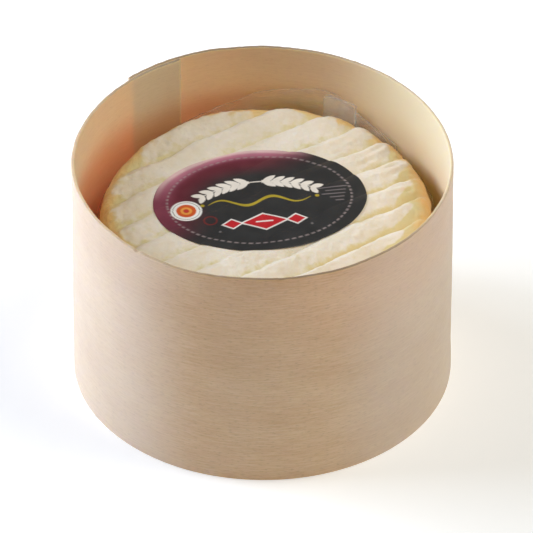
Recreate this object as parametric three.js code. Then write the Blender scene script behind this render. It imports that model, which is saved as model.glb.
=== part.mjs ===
// A soft ripened cheese in its tall round box of bent veneer: the box wall, its base disc, the cheese
// with the marks of the draining rack across its top, an oval paper label and the clear film round its side.
// Millimetres, +Z up. The origin is the centre of the box's underside and the front faces -Y.
import * as THREE from 'three';
import { mergeVertices } from 'three/addons/utils/BufferGeometryUtils.js';

const DEGREE = Math.PI / 180;
const FULL_TURN = 2 * Math.PI;

// Box wall: one veneer band bent into a ring, its two ends lapped and glued
const BOX_DIAMETER = 125;
const BOX_HEIGHT = 84;
const VENEER = 1.2;
const INNER_END_ANGLE = 116.4 * DEGREE;
const LAP_ANGLE = 18.2 * DEGREE;
const LAP_EASE_ANGLE = 52 * DEGREE;
const OVAL_SWELL = 0.22;
const OVAL_SWELL_ANGLE = -37 * DEGREE;
const BAND_STEPS = 132;

// Base disc, let into the wall with its underside level with the wall's lower edge
const BASE_THICKNESS = 2;
const BASE_STEPS = 96;
const CLEARANCE = 0.3;

// Cheese: a low drum with rounded shoulders, not quite round and a little off the middle of its box
const CHEESE_RADIUS = 54.9;
const CHEESE_CENTRE = { x: 1.0, y: 1.8 };
const CHEESE_TOP = 65;
const CHEESE_UNDERSIDE = BASE_THICKNESS + CLEARANCE;
const SHOULDER_WIDTH = 6;
const SHOULDER_DROP = 6.5;
const SHOULDER_TILTS = [18, 36, 54, 72, 90];
const FOOT_ROUNDING = 4;
const FOOT_TILTS = [90, 45, 0];
const BELLY = 0.3;
const OUTLINE_WAVES = [
  { lobes: 2, swell: 0.65, angle: 60 * DEGREE },
  { lobes: 3, swell: 0.4, angle: -25 * DEGREE },
];

// Rack marks: straight creases side by side across the top, closer together towards the front
const CREASE_ANGLE = 36 * DEGREE;
const FIRST_CREASE = 42.3;
const FIRST_SPACING = 12.3;
const SPACING_LOSS = 0.19;
const RIDGE_SKEW = 0.55;
const RIDGE_ROUNDNESS = 0.75;
const EDGE_RIDGE_DEPTH = 2.4;
const MIDDLE_RIDGE_DEPTH = 0.6;
const DEEPENING_START = 0.8;
const DEEPENING_WIDTH = 0.7;
const SHALLOW_SIDE_ANGLE = 205 * DEGREE;
const SHALLOW_SIDE_LOSS = 0.5;
const CREASE_END_TILT = 85;
const CREASE_ROWS = 96;
const ROW_STEPS = 16;

// Label: an oval of stiff paper on the crests of the ridges
const LABEL_HALF_LENGTH = 35.2;
const LABEL_HALF_WIDTH = 26.4;
const LABEL_TURN = 8.5 * DEGREE;
const LABEL_CENTRE = { x: -1, y: 3.2 };
const LABEL_THICKNESS = 0.4;
const LABEL_SAG_SHARE = 0.35;
const LABEL_SPOKES = 72;
const LABEL_RINGS = 7;

// Film: a clear band round the side of the cheese. It starts with a folded tab at the back right, goes
// clockwise past the front and the left, and ends outside its own start.
const FILM_THICKNESS = 0.3;
const FILM_FOOT = 3;
const FILM_TAB_ANGLE = 57.5 * DEGREE;
const FILM_FOLD_ANGLE = 69.7 * DEGREE;
const FILM_END_ANGLE = -319 * DEGREE;
const FILM_TAB_GAP = 0.8;
const FILM_FOLD_RADIUS = 0.6;
const FILM_SIDE_GAP = 1.1;
const FILM_END_GAP = 2.7;
const FILM_CLOSING_ANGLE = 50 * DEGREE;
const FILM_LEAVING_START = -200 * DEGREE;
const FILM_LEAVING_ANGLE = 80 * DEGREE;
const FILM_TAB_STEPS = 4;
const FILM_FOLD_STEPS = 6;
const FILM_TURN_STEPS = 96;
const FILM_TOPS = [
  { angle: 69.7, top: 69.2 },
  { angle: 58, top: 65 },
  { angle: 41.8, top: 57.8 },
  { angle: -5, top: 59 },
  { angle: -110, top: 55.5 },
  { angle: -211, top: 57.5 },
  { angle: -231, top: 58 },
  { angle: -251, top: 61.3 },
  { angle: -256, top: 62.6 },
  { angle: -269, top: 66.8 },
  { angle: -286.7, top: 69.1 },
  { angle: -293, top: 69.2 },
  { angle: -303, top: 63.7 },
  { angle: -319, top: 58.8 },
];

const BOX_RADIUS = BOX_DIAMETER / 2;
const MERGE_DIGITS = 5;

const VENEER_WOOD = new THREE.MeshStandardMaterial({ color: '#e3cfb6', roughness: 0.7, metalness: 0 });
const BASE_WOOD = new THREE.MeshStandardMaterial({ color: '#dcc6aa', roughness: 0.75, metalness: 0 });
const BLOOMY_RIND = new THREE.MeshStandardMaterial({ color: '#ebdfca', roughness: 0.65, metalness: 0 });
const LABEL_PAPER = new THREE.MeshStandardMaterial({ color: '#3a3335', roughness: 0.4, metalness: 0 });
const CLEAR_FILM = new THREE.MeshStandardMaterial({ color: '#e9dcc6', roughness: 0.15, metalness: 0 });

// Cubic step from 0 to 1 as t goes from 0 to 1, level at both ends
function easeStep(t) {
  const c = Math.min(1, Math.max(0, t));
  return c * c * (3 - 2 * c);
}

function polar(radius, angle, z) {
  return new THREE.Vector3(radius * Math.cos(angle), radius * Math.sin(angle), z);
}

// A closed surface from shared points and triangles of point numbers
function surfaceGeometry(points, triangles) {
  const geometry = new THREE.BufferGeometry();
  const places = points.flatMap((point) => point.toArray());
  geometry.setAttribute('position', new THREE.Float32BufferAttribute(places, 3));
  geometry.setIndex(triangles.flat());
  return geometry;
}

// Triangles between two loops of the same number of points, given by the number of each loop's first point
function bandTriangles(firstOfA, firstOfB, count) {
  const triangles = [];
  for (let i = 0; i < count; i += 1) {
    const next = (i + 1) % count;
    triangles.push([firstOfA + i, firstOfA + next, firstOfB + next]);
    triangles.push([firstOfA + i, firstOfB + next, firstOfB + i]);
  }
  return triangles;
}

// The same for points that may share a place: they become one, and triangles left without an area go
function mergedSurface(points, triangles) {
  const numbers = new Map();
  const kept = [];
  const renumbered = points.map((point) => {
    const place = point.toArray().map((length) => length.toFixed(MERGE_DIGITS)).join(' ');
    if (!numbers.has(place)) {
      numbers.set(place, kept.length);
      kept.push(point);
    }
    return numbers.get(place);
  });
  const faces = triangles.map((corners) => corners.map((corner) => renumbered[corner]));
  return surfaceGeometry(kept, faces.filter((corners) => new Set(corners).size === 3));
}

function solidMesh(name, geometry, material) {
  const mesh = new THREE.Mesh(geometry, material);
  mesh.name = name;
  return mesh;
}

// Middle line of the veneer band. Turned is the angle from the band's inner end. Both ends stay half a
// veneer off the ring over the lap, the inner one inwards and the outer one outwards, and ease back to it.
function bandRadius(turned) {
  const inner = 1 - easeStep((turned - LAP_ANGLE) / LAP_EASE_ANGLE);
  const outer = easeStep((turned - FULL_TURN + LAP_EASE_ANGLE) / LAP_EASE_ANGLE);
  const angle = INNER_END_ANGLE + turned;
  const swell = OVAL_SWELL * Math.cos(2 * (angle - OVAL_SWELL_ANGLE));
  return BOX_RADIUS - VENEER / 2 + (outer - inner) * VENEER / 2 + swell;
}

// One face of the band as a closed outline: the inner face starts at the band's inner end, and the outer
// face one lap later, so each has a step one veneer high.
function bandOutline(startTurned, offset) {
  const outline = [];
  for (let i = 0; i <= BAND_STEPS; i += 1) {
    const turned = startTurned + FULL_TURN * i / BAND_STEPS;
    const p = polar(bandRadius(turned) + offset, INNER_END_ANGLE + turned, 0);
    outline.push(new THREE.Vector2(p.x, p.y));
  }
  return outline;
}

function boxWall() {
  const section = new THREE.Shape(bandOutline(LAP_ANGLE, VENEER / 2));
  section.holes.push(new THREE.Path(bandOutline(0, -VENEER / 2)));
  const wall = new THREE.ExtrudeGeometry(section, { depth: BOX_HEIGHT, bevelEnabled: false });
  wall.deleteAttribute('normal');
  wall.deleteAttribute('uv');
  return solidMesh('box_wall', mergeVertices(wall), VENEER_WOOD);
}

function boxBase() {
  const radius = BOX_RADIUS - 1.5 * VENEER - CLEARANCE;
  const disc = new THREE.CylinderGeometry(radius, radius, BASE_THICKNESS, BASE_STEPS);
  disc.rotateX(Math.PI / 2);
  disc.translate(0, 0, BASE_THICKNESS / 2);
  disc.deleteAttribute('normal');
  disc.deleteAttribute('uv');
  return solidMesh('box_base', mergeVertices(disc), BASE_WOOD);
}

// How many creases lie behind a point. Crease n is at FIRST_CREASE - FIRST_SPACING n + SPACING_LOSS n n,
// measured square to the creases, and this is that formula turned round.
function creasesBehind(x, y) {
  const across = y * Math.cos(CREASE_ANGLE) - x * Math.sin(CREASE_ANGLE);
  const root = Math.sqrt(FIRST_SPACING ** 2 - 4 * SPACING_LOSS * (FIRST_CREASE - across));
  return (FIRST_SPACING - root) / (2 * SPACING_LOSS);
}

// 0 in a crease and 1 on the crest of a ridge, which lies nearer the crease behind it
function ridgeShare(x, y) {
  const creases = creasesBehind(x, y);
  const past = creases - Math.floor(creases);
  return Math.abs(Math.sin(Math.PI * past ** RIDGE_SKEW)) ** RIDGE_ROUNDNESS;
}

// Place of a point on the label, as a share of the label's half length and half width
function labelShare(x, y) {
  const dx = x - LABEL_CENTRE.x;
  const dy = y - LABEL_CENTRE.y;
  const along = dx * Math.cos(LABEL_TURN) + dy * Math.sin(LABEL_TURN);
  const across = dy * Math.cos(LABEL_TURN) - dx * Math.sin(LABEL_TURN);
  return Math.hypot(along / LABEL_HALF_LENGTH, across / LABEL_HALF_WIDTH);
}

// The creases are shallow under the label, where the paper was pressed on, and deepest at the edge, but
// less deep at the front left
function creaseDepth(x, y) {
  const outwards = easeStep((labelShare(x, y) - DEEPENING_START) / DEEPENING_WIDTH);
  const depth = MIDDLE_RIDGE_DEPTH + (EDGE_RIDGE_DEPTH - MIDDLE_RIDGE_DEPTH) * outwards;
  const facing = Math.cos(Math.atan2(y, x) - SHALLOW_SIDE_ANGLE);
  return depth * (1 - SHALLOW_SIDE_LOSS * easeStep(facing)) * (1 - ridgeShare(x, y));
}

function cheeseRadius(angle) {
  const waves = OUTLINE_WAVES.map((wave) => wave.swell * Math.cos(wave.lobes * (angle - wave.angle)));
  return CHEESE_RADIUS + waves.reduce((sum, wave) => sum + wave, 0);
}

// The cheese's side as steps from the edge of its flat top down to the edge of its flat underside. Inset
// is the distance in from the outline, up is the height, and hold is how much of a crease is still there.
function sideSteps() {
  const shoulder = SHOULDER_TILTS.map((tilt) => ({
    inset: SHOULDER_WIDTH * (1 - Math.sin(tilt * DEGREE)),
    up: CHEESE_TOP - SHOULDER_DROP * (1 - Math.cos(tilt * DEGREE)),
    tilt: tilt * DEGREE,
    hold: Math.max(0, 1 - tilt / CREASE_END_TILT),
  }));
  const belly = { inset: -BELLY, up: (CHEESE_TOP + CHEESE_UNDERSIDE) / 2, tilt: 0, hold: 0 };
  const foot = FOOT_TILTS.map((tilt) => ({
    inset: FOOT_ROUNDING * (1 - Math.sin(tilt * DEGREE)),
    up: CHEESE_UNDERSIDE + FOOT_ROUNDING * (1 - Math.cos(tilt * DEGREE)),
    tilt: 0,
    hold: 0,
  }));
  return [...shoulder, belly, ...foot];
}

// A place at an angle and an inset from the cheese's outline, at a height above the floor
function cheesePoint(angle, inset, z) {
  const point = polar(cheeseRadius(angle) - inset, angle, z);
  return point.add(new THREE.Vector3(CHEESE_CENTRE.x, CHEESE_CENTRE.y, 0));
}

// Row ends of the flat top, seen along the creases: row i ends at angle i on one side and its mirror on
// the other. The first and last rows are single points.
function topEdgeAngle(i) {
  return CREASE_ANGLE - Math.PI / 2 + Math.PI * i / CREASE_ROWS;
}

function topEdgeMirror(i) {
  return CREASE_ANGLE - Math.PI / 2 - Math.PI * i / CREASE_ROWS;
}

// Top of the cheese: rows of points along the creases, from the front of the top to its back. The first
// and the last row are one place each, given once for every step of the row.
function topRows() {
  const rows = [];
  for (let i = 0; i <= CREASE_ROWS; i += 1) {
    const right = cheesePoint(topEdgeAngle(i), SHOULDER_WIDTH, 0);
    const left = cheesePoint(topEdgeMirror(i), SHOULDER_WIDTH, 0);
    const row = [];
    for (let j = 0; j <= ROW_STEPS; j += 1) {
      const point = right.clone().lerp(left, j / ROW_STEPS);
      point.z = CHEESE_TOP - creaseDepth(point.x, point.y);
      row.push(point);
    }
    rows.push(row);
  }
  return rows;
}

// The rows side by side, as quads cut into triangles
function topTriangles() {
  const triangles = [];
  const rowLength = ROW_STEPS + 1;
  for (let i = 0; i < CREASE_ROWS; i += 1) {
    for (let j = 0; j < ROW_STEPS; j += 1) {
      const near = i * rowLength + j;
      const far = near + rowLength;
      triangles.push([near, far, near + 1]);
      triangles.push([near + 1, far, far + 1]);
    }
  }
  return triangles;
}

// The rim of the flat top: one end of each row in turn, and the other ends on the way back
function topRim() {
  const rim = [];
  const rowLength = ROW_STEPS + 1;
  for (let i = 0; i <= CREASE_ROWS; i += 1) {
    rim.push({ angle: topEdgeAngle(i), number: i * rowLength });
  }
  for (let i = CREASE_ROWS - 1; i > 0; i -= 1) {
    rim.push({ angle: topEdgeMirror(i), number: i * rowLength + ROW_STEPS });
  }
  return rim;
}

function cheese() {
  const points = topRows().flat();
  const triangles = topTriangles();
  const rim = topRim();
  let above = rim.map((place) => place.number);
  for (const step of sideSteps()) {
    const ring = rim.map((place) => {
      const point = cheesePoint(place.angle, step.inset, step.up);
      const depth = creaseDepth(point.x, point.y) * step.hold;
      const inwards = polar(depth * Math.sin(step.tilt), place.angle, depth * Math.cos(step.tilt));
      points.push(point.sub(inwards));
      return points.length - 1;
    });
    for (let i = 0; i < rim.length; i += 1) {
      const next = (i + 1) % rim.length;
      triangles.push([above[i], ring[i], ring[next]]);
      triangles.push([above[i], ring[next], above[next]]);
    }
    above = ring;
  }
  points.push(new THREE.Vector3(CHEESE_CENTRE.x, CHEESE_CENTRE.y, CHEESE_UNDERSIDE));
  const middle = points.length - 1;
  for (let i = 0; i < rim.length; i += 1) {
    triangles.push([above[i], middle, above[(i + 1) % rim.length]]);
  }
  return solidMesh('cheese', mergedSurface(points, triangles), BLOOMY_RIND);
}

// Point of the label at a share of the way out and an angle, on its underside or its face. The paper sags
// a little into the creases and stays clear of the crests.
function labelPoint(share, angle, lift) {
  const along = LABEL_HALF_LENGTH * share * Math.cos(angle);
  const across = LABEL_HALF_WIDTH * share * Math.sin(angle);
  const x = LABEL_CENTRE.x + along * Math.cos(LABEL_TURN) - across * Math.sin(LABEL_TURN);
  const y = LABEL_CENTRE.y + along * Math.sin(LABEL_TURN) + across * Math.cos(LABEL_TURN);
  return new THREE.Vector3(x, y, CHEESE_TOP + CLEARANCE - LABEL_SAG_SHARE * creaseDepth(x, y) + lift);
}

function label() {
  const points = [labelPoint(0, 0, 0)];
  const triangles = [];
  const shares = [];
  for (let ring = 1; ring <= LABEL_RINGS; ring += 1) {
    shares.push({ share: ring / LABEL_RINGS, lift: 0 });
  }
  for (let ring = LABEL_RINGS; ring >= 1; ring -= 1) {
    shares.push({ share: ring / LABEL_RINGS, lift: LABEL_THICKNESS });
  }
  for (const { share, lift } of shares) {
    for (let i = 0; i < LABEL_SPOKES; i += 1) {
      points.push(labelPoint(share, FULL_TURN * i / LABEL_SPOKES, lift));
    }
  }
  points.push(labelPoint(0, 0, LABEL_THICKNESS));
  const faceMiddle = points.length - 1;
  const lastRing = faceMiddle - LABEL_SPOKES;
  for (let i = 0; i < LABEL_SPOKES; i += 1) {
    const next = (i + 1) % LABEL_SPOKES;
    triangles.push([0, 1 + next, 1 + i]);
    triangles.push([lastRing + i, lastRing + next, faceMiddle]);
  }
  for (let ring = 0; ring < shares.length - 1; ring += 1) {
    const first = 1 + ring * LABEL_SPOKES;
    triangles.push(...bandTriangles(first, first + LABEL_SPOKES, LABEL_SPOKES));
  }
  return solidMesh('label', surfaceGeometry(points, triangles), LABEL_PAPER);
}

// Height of the film's upper edge at an angle, in a straight run from each listed place to the next
function filmTop(angle) {
  const degrees = angle / DEGREE;
  const passed = FILM_TOPS.filter((place) => place.angle >= degrees);
  const from = passed[passed.length - 1] ?? FILM_TOPS[0];
  const to = FILM_TOPS[Math.min(passed.length, FILM_TOPS.length - 1)];
  const share = to === from ? 0 : (from.angle - degrees) / (from.angle - to.angle);
  return from.top + (to.top - from.top) * share;
}

// Middle line of the film, seen from above, with the height of its upper edge: the tab, its round fold, and
// the long turn round the cheese, which leaves the fold's outer side, closes in, and moves out at its end.
function filmPath() {
  const path = [];
  for (let i = 0; i < FILM_TAB_STEPS; i += 1) {
    const angle = FILM_TAB_ANGLE + (FILM_FOLD_ANGLE - FILM_TAB_ANGLE) * i / FILM_TAB_STEPS;
    path.push({ at: cheesePoint(angle, -FILM_TAB_GAP, 0), top: FILM_TOPS[0].top });
  }
  const foldCentre = cheesePoint(FILM_FOLD_ANGLE, -FILM_TAB_GAP - FILM_FOLD_RADIUS, 0);
  for (let i = 0; i < FILM_FOLD_STEPS; i += 1) {
    const turn = FILM_FOLD_ANGLE + Math.PI * (1 - i / FILM_FOLD_STEPS);
    path.push({ at: foldCentre.clone().add(polar(FILM_FOLD_RADIUS, turn, 0)), top: FILM_TOPS[0].top });
  }
  const startGap = FILM_TAB_GAP + 2 * FILM_FOLD_RADIUS;
  for (let i = 0; i <= FILM_TURN_STEPS; i += 1) {
    const angle = FILM_FOLD_ANGLE + (FILM_END_ANGLE - FILM_FOLD_ANGLE) * i / FILM_TURN_STEPS;
    const closing = easeStep((FILM_FOLD_ANGLE - angle) / FILM_CLOSING_ANGLE);
    const leaving = easeStep((FILM_LEAVING_START - angle) / FILM_LEAVING_ANGLE);
    const closed = startGap + (FILM_SIDE_GAP - startGap) * closing;
    const gap = closed + (FILM_END_GAP - FILM_SIDE_GAP) * leaving;
    path.push({ at: cheesePoint(angle, -gap, 0), top: filmTop(angle) });
  }
  return path;
}

// The film is its middle line given a thickness, from its foot to its upper edge
function film() {
  const path = filmPath();
  const points = [];
  const triangles = [];
  path.forEach((place, i) => {
    const before = path[Math.max(0, i - 1)].at;
    const after = path[Math.min(path.length - 1, i + 1)].at;
    const forward = after.clone().sub(before).normalize();
    const side = new THREE.Vector3(-forward.y, forward.x, 0).multiplyScalar(FILM_THICKNESS / 2);
    const left = place.at.clone().add(side);
    const right = place.at.clone().sub(side);
    points.push(new THREE.Vector3(right.x, right.y, FILM_FOOT));
    points.push(new THREE.Vector3(left.x, left.y, FILM_FOOT));
    points.push(new THREE.Vector3(left.x, left.y, place.top));
    points.push(new THREE.Vector3(right.x, right.y, place.top));
  });
  for (let i = 0; i < path.length - 1; i += 1) {
    triangles.push(...bandTriangles(4 * i, 4 * (i + 1), 4));
  }
  const end = points.length - 4;
  triangles.push([0, 2, 1], [0, 3, 2], [end, end + 1, end + 2], [end, end + 2, end + 3]);
  return solidMesh('film', surfaceGeometry(points, triangles), CLEAR_FILM);
}

const boxedCheese = new THREE.Group();
boxedCheese.add(boxWall(), boxBase(), cheese(), label(), film());

export default boxedCheese;
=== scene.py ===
"""A soft ripened cheese in its tall round veneer box, dressed for a studio picture.

Sizes are millimetres, +Z is up, the origin is the centre of the box's underside and the front faces -Y.
Every surface is a function of two parameters, worked out on a whole grid at once and put into a mesh in
metres. Angles in names ending _ANGLE are radians, counted from +X towards +Y.
"""

import math

import bpy
import numpy as np
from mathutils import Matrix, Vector


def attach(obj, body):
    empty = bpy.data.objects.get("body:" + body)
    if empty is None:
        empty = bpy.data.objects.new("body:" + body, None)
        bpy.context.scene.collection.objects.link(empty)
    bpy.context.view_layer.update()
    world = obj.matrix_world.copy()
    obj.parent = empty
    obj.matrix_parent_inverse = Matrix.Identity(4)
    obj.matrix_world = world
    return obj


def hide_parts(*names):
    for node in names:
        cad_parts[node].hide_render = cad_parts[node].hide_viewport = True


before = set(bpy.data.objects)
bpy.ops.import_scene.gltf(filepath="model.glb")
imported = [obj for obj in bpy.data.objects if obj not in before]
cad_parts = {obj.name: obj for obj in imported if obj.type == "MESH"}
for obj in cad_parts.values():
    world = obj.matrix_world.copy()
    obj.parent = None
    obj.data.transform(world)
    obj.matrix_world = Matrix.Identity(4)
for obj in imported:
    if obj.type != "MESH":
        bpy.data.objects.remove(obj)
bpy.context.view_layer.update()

MM = 0.001
DEGREE = math.pi / 180
FULL_TURN = 2 * math.pi

# The box, as the frame has it
BOX_DIAMETER = 125.0
BOX_HEIGHT = 84.0
BOX_RADIUS = BOX_DIAMETER / 2
VENEER = 1.2
INNER_END_ANGLE = 116.4 * DEGREE
LAP_ANGLE = 18.2 * DEGREE
LAP_EASE_ANGLE = 52 * DEGREE
OVAL_SWELL = 0.22
OVAL_SWELL_ANGLE = -37 * DEGREE
BASE_THICKNESS = 2.0
CLEARANCE = 0.3

# The band as shown: thinner, further in and lower than its solid, so that its unevenness stays inside that
VENEER_SHOWN = 1.12
BAND_INSET = 0.12
RIM_INSET = 0.3
RIM_ROUNDING = 0.28

# The cheese
CHEESE_RADIUS = 54.9
CHEESE_CENTRE_X = 1.0
CHEESE_CENTRE_Y = 1.8
CHEESE_TOP = 65.0
CHEESE_UNDERSIDE = BASE_THICKNESS + CLEARANCE
SHOULDER_WIDTH = 6.0
SHOULDER_DROP = 6.5
FOOT_ROUNDING = 4.0
BELLY = 0.3

# The ridges and creases that the draining rack leaves
CREASE_ANGLE = 36 * DEGREE
FIRST_CREASE = 42.3
FIRST_SPACING = 12.3
SPACING_LOSS = 0.19
RIDGE_SKEW = 0.55
RIDGE_ROUNDNESS = 0.75
CREST_PLACE = 0.24
EDGE_RIDGE_DEPTH = 2.4
MIDDLE_RIDGE_DEPTH = 0.6
SHALLOW_SIDE_ANGLE = 205 * DEGREE
SHALLOW_SIDE_LOSS = 0.5
CREASE_END_TILT = 85 * DEGREE

# The label
LABEL_HALF_LENGTH = 35.2
LABEL_HALF_WIDTH = 26.4
LABEL_TURN = 8.5 * DEGREE
LABEL_CENTRE_X = -1.0
LABEL_CENTRE_Y = 3.2
LABEL_THICKNESS = 0.14
LABEL_LIFT = 0.1
LABEL_SAG_SHARE = 0.35
LABEL_EDGE_SAG_SHARE = 0.6

# The film
FILM_THICKNESS = 0.08
FILM_FOOT = 3.2
FILM_TAB_ANGLE = 57.5 * DEGREE
FILM_FOLD_ANGLE = 69.7 * DEGREE
FILM_END_ANGLE = -319 * DEGREE
FILM_TAB_GAP = 0.8
FILM_FOLD_RADIUS = 0.6
FILM_SIDE_GAP = 1.1
FILM_END_GAP = 2.7
FILM_CLOSING_ANGLE = 50 * DEGREE
FILM_LEAVING_START = -200 * DEGREE
FILM_LEAVING_ANGLE = 80 * DEGREE


def linear(hex_colour):
    """An sRGB hex value as a linear RGBA colour."""
    channels = [int(hex_colour[i : i + 2], 16) / 255 for i in (1, 3, 5)]
    return (*[c / 12.92 if c <= 0.04045 else ((c + 0.055) / 1.055) ** 2.4 for c in channels], 1.0)


def ease(t):
    """Cubic step: 0 below 0, 1 above 1, and 3 t t - 2 t t t between."""
    t = np.clip(t, 0.0, 1.0)
    return t * t * (3 - 2 * t)


def ripple(x, y, z, size, seed, waves=26):
    """Smooth seeded unevenness of about -1 to 1: a sum of cosine waves in random directions, whose lengths
    lie round the size given, in mm."""
    draw = np.random.default_rng(seed)
    direction = draw.normal(size=(waves, 3))
    direction /= np.linalg.norm(direction, axis=1)[:, None]
    wave = direction * (FULL_TURN / (size * draw.uniform(0.7, 1.5, waves)))[:, None]
    phase = draw.uniform(0, FULL_TURN, waves)
    total = np.zeros(np.broadcast(x, y, z).shape)
    for k, shift in zip(wave, phase):
        total = total + np.cos(k[0] * x + k[1] * y + k[2] * z + shift)
    return total / math.sqrt(waves)


def side_share(facing, towards, start, full):
    """0 to 1 as a side comes to face an angle in degrees: the cosine of the angle between them, eased from its
    value at the start to its value at the full."""
    return ease((np.cos(facing - towards * DEGREE) - start) / (full - start))


def grid_quads(rows, columns):
    """Corner numbers of the quads of a grid whose points are numbered row by row, with the last column joined
    to the first."""
    here = np.arange(rows - 1)[:, None] * columns
    j = np.arange(columns)[None, :]
    beside = (j + 1) % columns
    corners = np.stack([here + j, here + beside, here + columns + beside, here + columns + j], -1)
    return corners.reshape(-1, 4)


def fan(middle, ring):
    """Triangles from one point to a ring of points."""
    return np.stack([np.full(len(ring), middle), ring, np.roll(ring, -1)], -1)


def make_piece(name, points, faces, material, uv=None, amounts=None, colours=None):
    """One smooth mesh object from points in millimetres and lists of corner numbers. Amounts are one number
    a point, colours one linear colour a point, and uv one pair a point."""
    mesh = bpy.data.meshes.new(name)
    corners = [face for group in faces for face in group.tolist()]
    mesh.from_pydata((points * MM).tolist(), [], corners)
    mesh.shade_smooth()
    corner_points = np.empty(len(mesh.loops), np.int32)
    mesh.loops.foreach_get("vertex_index", corner_points)
    if uv is not None:
        layer = mesh.uv_layers.new(name="grain")
        layer.data.foreach_set("uv", uv[corner_points].astype(np.float32).ravel())
    for key, values in (amounts or {}).items():
        mesh.attributes.new(key, "FLOAT", "POINT").data.foreach_set("value", values.astype(np.float32))
    for key, values in (colours or {}).items():
        rgba = np.concatenate([values, np.ones((len(values), 1))], 1).astype(np.float32)
        mesh.color_attributes.new(key, "FLOAT_COLOR", "POINT").data.foreach_set("color", rgba.ravel())
    mesh.materials.append(material)
    mesh.validate()
    piece = bpy.data.objects.new(name, mesh)
    bpy.context.scene.collection.objects.link(piece)
    return piece


def dress(piece, node):
    """The piece stands for a solid of the frame: it hangs from the root body, and the frame's solid is hidden."""
    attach(piece, "root")
    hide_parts(node)


def add(tree, kind, inputs=None, **settings):
    """Adds one node. Settings are its properties, and an input is a value or a (node, output) to link."""
    node = tree.nodes.new(kind)
    for key, value in settings.items():
        setattr(node, key, value)
    for key, value in (inputs or {}).items():
        if isinstance(value, tuple) and isinstance(value[0], bpy.types.Node):
            tree.links.new(value[0].outputs[value[1]], node.inputs[key])
        else:
            node.inputs[key].default_value = value
    return node


def new_material(name):
    """A material with an empty node tree."""
    material = bpy.data.materials.new(name)
    material.use_nodes = True
    material.node_tree.nodes.clear()
    return material, material.node_tree


# Veneer


def peeled_poplar(name, size_mm, pale, deep, coordinates):
    """Poplar veneer, peeled in one long sheet from a turning log and left raw. The knife leaves a matt, faintly
    napped face with fibres and short pores along the sheet, and broad soft patches where the summer wood is
    cut. A sheet this thin lets some light through, which comes out orange. Size is what one unit of the
    coordinates measures, in mm. Four amounts tint it: painted light as a paler tint inside, painted shade as a
    deep orange inside, a painted grey sheen outside, and the darker sawn edges, partly their own colour and
    partly painted shade."""
    material, tree = new_material(name)
    place = add(tree, coordinates)
    place_out = "UV" if coordinates == "ShaderNodeUVMap" else "Object"
    # Length and width of a mark in mm, and how many finer octaves it carries
    fibre_marks, pore_marks, patch_marks = (7.0, 0.55, 4.0), (2.0, 0.48, 2.0), (42.0, 15.0, 2.5)
    noises = []
    for length, width, detail in (fibre_marks, pore_marks, patch_marks):
        scale = (size_mm[0] / length, size_mm[1] / width, size_mm[2] / width)
        stretched = add(tree, "ShaderNodeMapping", {"Vector": (place, place_out), "Scale": scale})
        inputs = {"Vector": (stretched, "Vector"), "Scale": 1.0, "Detail": detail, "Roughness": 0.55}
        noises.append(add(tree, "ShaderNodeTexNoise", inputs))
    fibres, pores, patches = noises
    fibre_tone = add(
        tree,
        "ShaderNodeMapRange",
        {"Value": (fibres, "Fac"), "From Min": 0.34, "From Max": 0.66, "To Max": 0.5},
    )
    patch_tone = add(
        tree,
        "ShaderNodeMapRange",
        {"Value": (patches, "Fac"), "From Min": 0.3, "From Max": 0.7, "To Max": 0.45},
    )
    tone = add(tree, "ShaderNodeMath", {0: (fibre_tone, "Result"), 1: (patch_tone, "Result")}, operation="ADD")
    wood = add(
        tree,
        "ShaderNodeMix",
        {0: (tone, "Value"), 6: linear(pale), 7: linear(deep)},
        data_type="RGBA",
    )
    pore_dark = add(
        tree,
        "ShaderNodeMapRange",
        {"Value": (pores, "Fac"), "From Min": 0.54, "From Max": 0.72, "To Max": 0.3},
    )
    tinted = add(
        tree,
        "ShaderNodeMix",
        {0: (pore_dark, "Result"), 6: (wood, 2), 7: linear("#8f7354")},
        data_type="RGBA",
    )
    # The tints in order: painted light, painted orange shade, painted grey sheen, and the sawn edge, partly its
    # own colour and partly painted shade.
    for key, tint in (("fair", "#ffe9c8"), ("damp", "#e29549"), ("dusty", "#d8cdc5"), ("cut", "#7f6c56")):
        amount = add(tree, "ShaderNodeAttribute", attribute_name=key)
        inputs = {0: (amount, "Fac"), 6: (tinted, 2), 7: linear(tint)}
        tinted = add(tree, "ShaderNodeMix", inputs, data_type="RGBA")
    height = add(tree, "ShaderNodeMath", {0: (fibres, "Fac"), 1: (pore_dark, "Result")}, operation="SUBTRACT")
    relief = add(
        tree,
        "ShaderNodeBump",
        {"Height": (height, "Value"), "Strength": 0.35, "Distance": 0.06 * MM},
    )
    shine = add(
        tree,
        "ShaderNodeMapRange",
        {"Value": (fibres, "Fac"), "From Min": 0.3, "From Max": 0.7, "To Min": 0.6, "To Max": 0.72},
    )
    shader = add(
        tree,
        "ShaderNodeBsdfPrincipled",
        {
            "Base Color": (tinted, 2),
            "Roughness": (shine, "Result"),
            "Normal": (relief, "Normal"),
            "IOR": 1.42,
            "Subsurface Weight": 0.6,
            "Subsurface Radius": (1.0, 0.8, 0.3),
            "Subsurface Scale": 2.0 * MM,
            "Sheen Weight": 0.12,
            "Sheen Roughness": 0.5,
        },
    )
    add(tree, "ShaderNodeOutputMaterial", {"Surface": (shader, "BSDF")})
    return material


def band_radius(turned):
    """Middle line of the veneer band against the angle turned from its inner end: the ring's radius, half a
    veneer inwards at the inner end and outwards at the outer end, with a slight oval swell."""
    inner = 1 - ease((turned - LAP_ANGLE) / LAP_EASE_ANGLE)
    outer = ease((turned - FULL_TURN + LAP_EASE_ANGLE) / LAP_EASE_ANGLE)
    swell = OVAL_SWELL * np.cos(2 * (INNER_END_ANGLE + turned - OVAL_SWELL_ANGLE))
    return BOX_RADIUS - VENEER / 2 + (outer - inner) * VENEER / 2 + swell


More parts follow.
